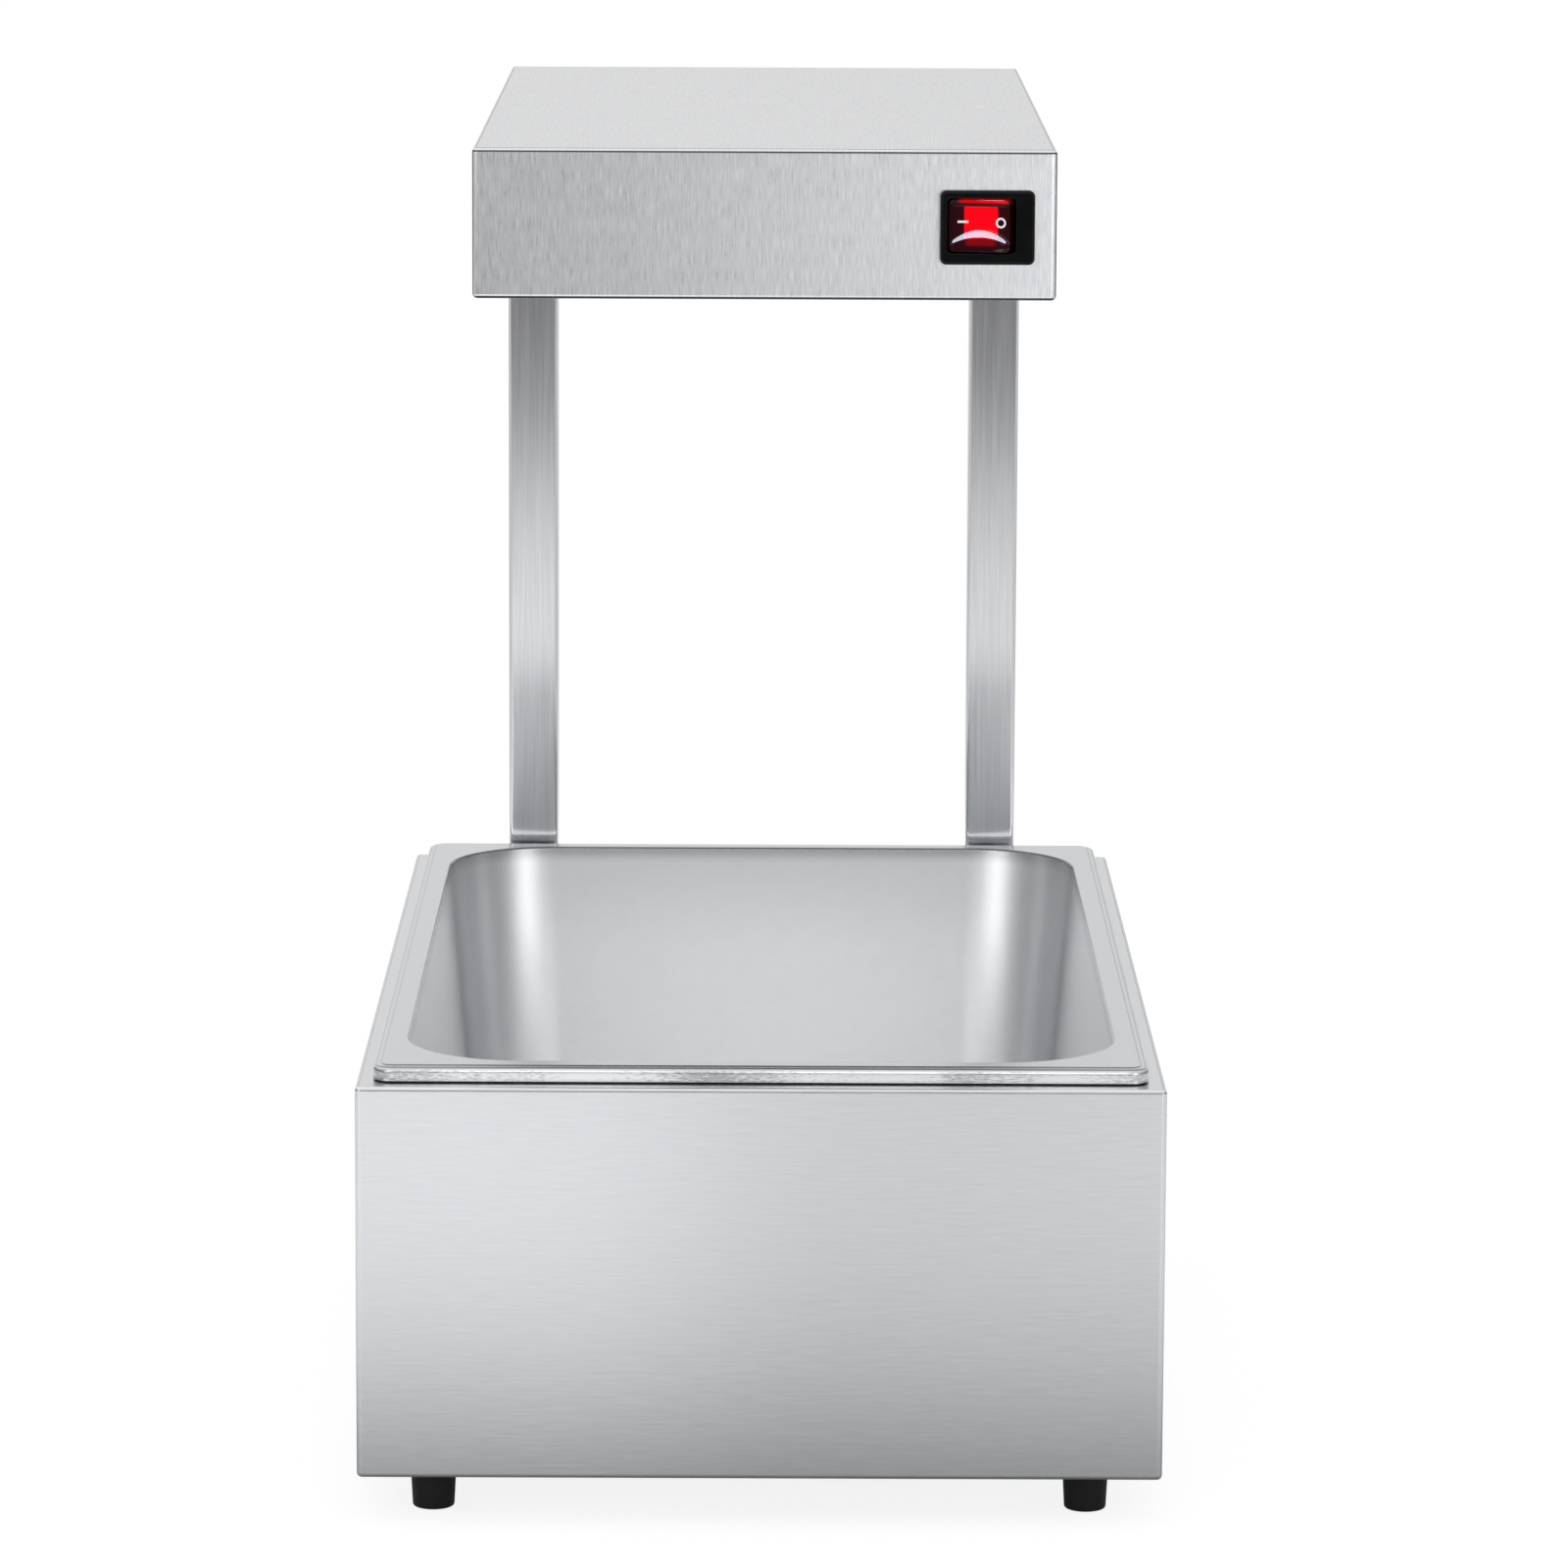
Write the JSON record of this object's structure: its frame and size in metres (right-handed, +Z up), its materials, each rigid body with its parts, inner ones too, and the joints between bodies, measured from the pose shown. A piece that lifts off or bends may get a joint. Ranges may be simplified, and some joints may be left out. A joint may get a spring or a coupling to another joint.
{
  "type": "food warmer",
  "caption": "Stainless steel food warmer: a deep full-size pan drops into a box base, and a flat infrared head with a lit rocker switch stands over it on two square posts behind.",
  "frame": {"origin": "on the floor, under the middle of the overall width and depth", "axes": "+X to the right as seen from the front, where the switch is; +Y away from the user, towards the posts; +Z up"},
  "size_m": [0.339, 0.5734, 0.5745],
  "materials": {
    "brushed_sheet": "stainless sheet, brushed to a fine grain",
    "satin_pan": "drawn stainless steel, satin",
    "polished_sheet": "stainless sheet, polished",
    "bright_wire": "bright stainless wire",
    "zinc_plated": "zinc-plated steel",
    "foot_rubber": "black moulded rubber, dull",
    "black_polyamide": "black polyamide, fine texture",
    "switch_black": "black polyamide, glossy",
    "switch_red": "red lit lens in a glossy rocker",
    "natural_polyamide": "natural polyamide",
    "milky_quartz": "milky quartz glass",
    "heater_core": "resistance wire wound on a ceramic core, drawn as its outer form",
    "steatite": "unglazed steatite",
    "cable_sheath": "black rubber sheath",
    "silicone_lead": "silicone-insulated lead in a glass-fibre sleeve"
  },
  "bodies": {
    "warmer": {"base_casing": "brushed_sheet", "base_bottom_plate": "brushed_sheet", "base_anchor_left": "brushed_sheet", "base_anchor_right": "brushed_sheet", "base_terminal_block": "natural_polyamide", "foot_front_left": "foot_rubber", "foot_front_right": "foot_rubber", "foot_rear_left": "foot_rubber", "foot_rear_right": "foot_rubber", "foot_bolt_front_left": "zinc_plated", "foot_bolt_front_right": "zinc_plated", "foot_bolt_rear_left": "zinc_plated", "foot_bolt_rear_right": "zinc_plated", "gland_body": "black_polyamide", "gland_seal": "foot_rubber", "gland_dome_nut": "black_polyamide", "gland_lock_nut": "black_polyamide", "wire_bush_base": "foot_rubber", "wire_bush_head": "foot_rubber", "supply_cable": "cable_sheath", "post_left": "brushed_sheet", "post_right": "brushed_sheet", "post_foot_plug_left": "black_polyamide", "post_foot_plug_right": "black_polyamide", "post_top_plug_left": "black_polyamide", "post_top_plug_right": "black_polyamide", "post_bolt_base_low_left": "zinc_plated", "post_bolt_base_high_left": "zinc_plated", "post_bolt_head_low_left": "zinc_plated", "post_bolt_head_high_left": "zinc_plated", "post_bolt_base_low_right": "zinc_plated", "post_bolt_base_high_right": "zinc_plated", "post_bolt_head_low_right": "zinc_plated", "post_bolt_head_high_right": "zinc_plated", "head_cover": "brushed_sheet", "head_bottom_plate": "brushed_sheet", "head_anchor_left": "brushed_sheet", "head_anchor_right": "brushed_sheet", "head_terminal_block": "natural_polyamide", "guard_grille": "bright_wire", "reflector": "polished_sheet", "heater_tube_left": "milky_quartz", "heater_tube_right": "milky_quartz", "heater_core_left": "heater_core", "heater_core_right": "heater_core", "heater_cap_front_left": "steatite", "heater_cap_front_right": "steatite", "heater_cap_rear_left": "steatite", "heater_cap_rear_right": "steatite", "cap_bracket_front": "brushed_sheet", "cap_bracket_rear": "brushed_sheet", "heater_lead_left": "silicone_lead", "heater_lead_right": "silicone_lead", "heater_link": "silicone_lead", "switch_lead": "silicone_lead", "switch_body": "switch_black"},
    "pan": {"gastronorm_pan": "satin_pan"},
    "rocker": {"switch_rocker": "switch_red"}
  },
  "joints": [
    {"name": "pan_lift", "type": "slide", "parent": "warmer", "child": "pan", "axis": [0, 0, 1], "range_m": [0, 0.165]},
    {"name": "switch_rock", "type": "hinge", "parent": "warmer", "child": "rocker", "pos_m": [0.0904, -0.22298, 0.543], "axis": [0, 0, 1], "range_deg": [0, 20]}
  ]
}
